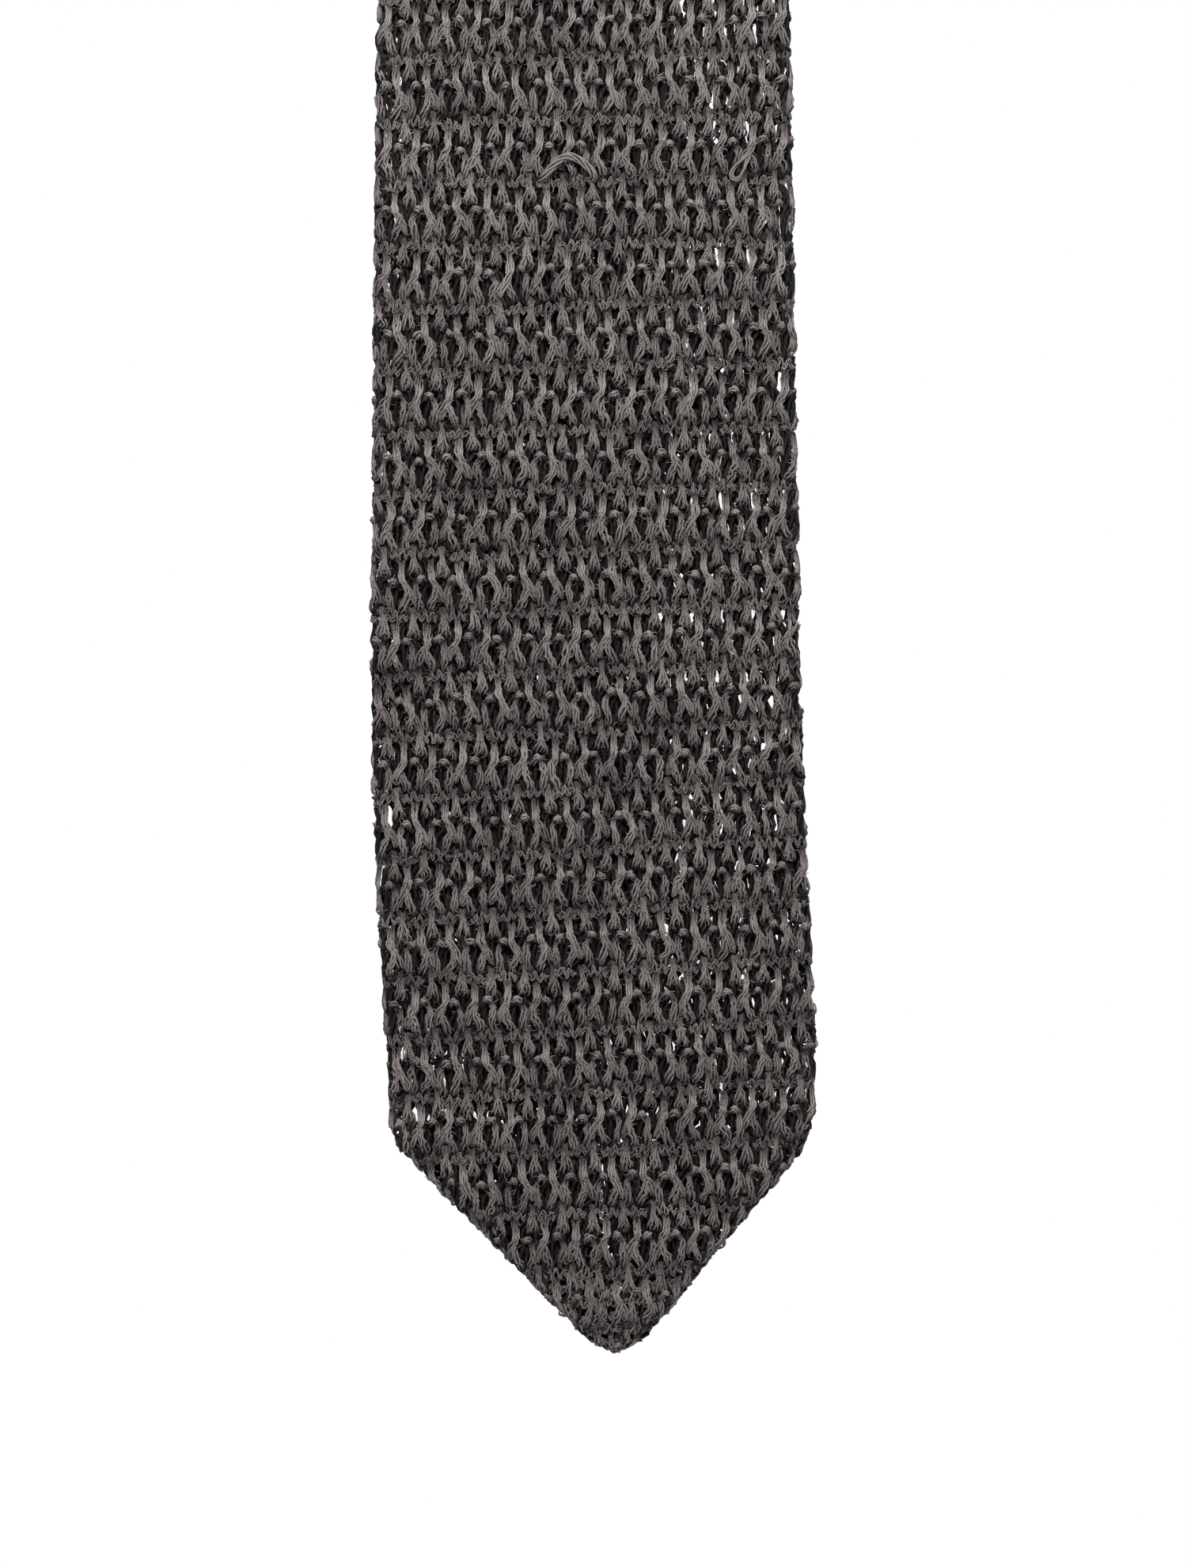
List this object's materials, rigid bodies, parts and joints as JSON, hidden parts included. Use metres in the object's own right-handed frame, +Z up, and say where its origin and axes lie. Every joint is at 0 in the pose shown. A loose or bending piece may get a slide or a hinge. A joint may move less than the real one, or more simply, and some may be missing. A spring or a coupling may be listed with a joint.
{
  "type": "knitted necktie",
  "caption": "Knitted openwork necktie with a pointed front blade, hung over a rail by its neck so both blades hang down; each blade swings and folds.",
  "frame": {"origin": "on the axis of the rail that the neck hangs over, at the middle of the neck's width", "axes": "+Z up, +X along the rail to the right of someone who faces the front blade, +Y from the front blade to the tail"},
  "size_m": [0.0599, 0.0167, 0.749],
  "materials": {
    "knit": "charcoal wool and silk knit, openwork stitches, matte",
    "seam_thread": "charcoal sewing thread, matte",
    "tack_yarn": "charcoal knitting yarn, several plies",
    "stay_tape": "narrow woven tape",
    "label_weave": "blank satin woven label",
    "care_tag_weave": "blank white woven ribbon tag"
  },
  "bodies": {
    "neck": {"neck_tube": "knit", "neck_stay_tape": "stay_tape", "neck_back_seam": "seam_thread"},
    "front_upper": {"front_upper_tube": "knit", "front_upper_back_seam": "seam_thread"},
    "front_lower": {"front_lower_tube": "knit", "front_lower_back_seam": "seam_thread", "front_point_fold_left": "knit", "front_point_fold_right": "knit", "front_point_stitches": "seam_thread", "front_bar_tack": "seam_thread", "keeper_loop": "knit", "keeper_stitches_left": "seam_thread", "keeper_stitches_right": "seam_thread", "keeper_tack_middle": "tack_yarn", "keeper_tack_right": "tack_yarn", "label": "label_weave", "label_stitches": "seam_thread"},
    "tail_upper": {"tail_upper_tube": "knit", "tail_upper_back_seam": "seam_thread"},
    "tail_lower": {"tail_lower_tube": "knit", "tail_lower_back_seam": "seam_thread", "tail_point_fold_left": "knit", "tail_point_fold_right": "knit", "tail_point_stitches": "seam_thread", "tail_bar_tack": "seam_thread", "care_tag": "care_tag_weave", "care_tag_stitches": "seam_thread"}
  },
  "joints": [
    {"name": "front_swing", "type": "hinge", "parent": "neck", "child": "front_upper", "pos_m": [0, -0.0082, -0.03], "axis": [-1, 0, 0], "range_deg": [0, 80]},
    {"name": "front_fold", "type": "hinge", "parent": "front_upper", "child": "front_lower", "pos_m": [0, -0.0082, -0.4], "axis": [-1, 0, 0], "range_deg": [0, 175]},
    {"name": "tail_swing", "type": "hinge", "parent": "neck", "child": "tail_upper", "pos_m": [0, 0.0082, -0.03], "axis": [1, 0, 0], "range_deg": [0, 80]},
    {"name": "tail_fold", "type": "hinge", "parent": "tail_upper", "child": "tail_lower", "pos_m": [0, 0.0082, -0.39], "axis": [1, 0, 0], "range_deg": [0, 175]}
  ]
}
